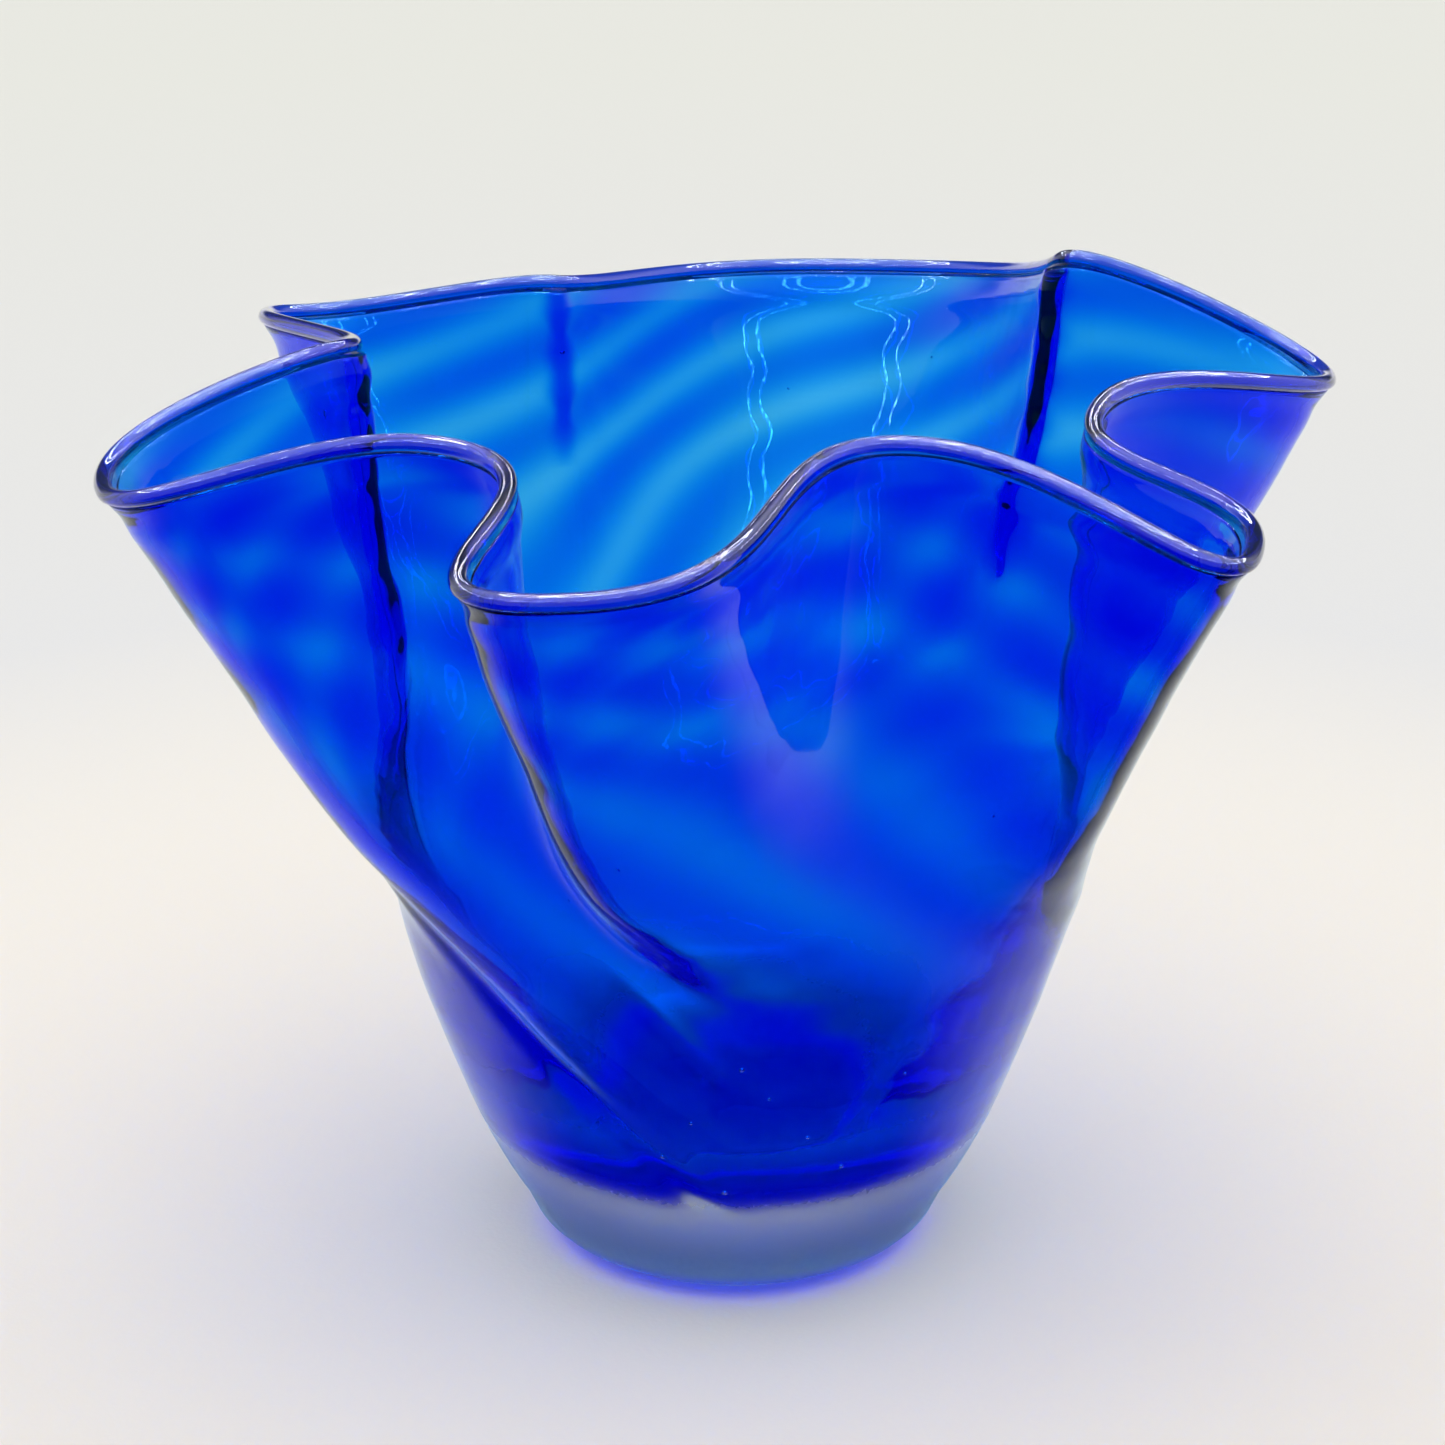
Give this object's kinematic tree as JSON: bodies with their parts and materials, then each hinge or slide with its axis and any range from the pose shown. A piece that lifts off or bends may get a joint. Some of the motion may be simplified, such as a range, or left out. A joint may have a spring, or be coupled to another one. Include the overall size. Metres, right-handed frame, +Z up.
{
  "type": "art glass bowl",
  "caption": "Blown ruffled art glass bowl: cobalt bubble inside a clear casing with a thick clear base, deep lobes and folds round the lip, and a flat foot.",
  "frame": {"origin": "centre of the flat foot, on the surface that the bowl stands on", "axes": "+Z up along the axis of the cup, -Y towards the side with the lowest front lobe, +X to the right of it"},
  "size_m": [0.2456, 0.2549, 0.1993],
  "materials": {
    "clear_glass": "fire-polished clear glass, faintly grey",
    "cobalt_glass": "smooth transparent cobalt glass with soft swirled optic ribs",
    "lip_glass": "fire-polished clear glass bead"
  },
  "bodies": {
    "root": {"clear_outer_casing": "clear_glass", "cobalt_inner_bubble": "cobalt_glass", "clear_lip_bead": "lip_glass"}
  },
  "joints": []
}
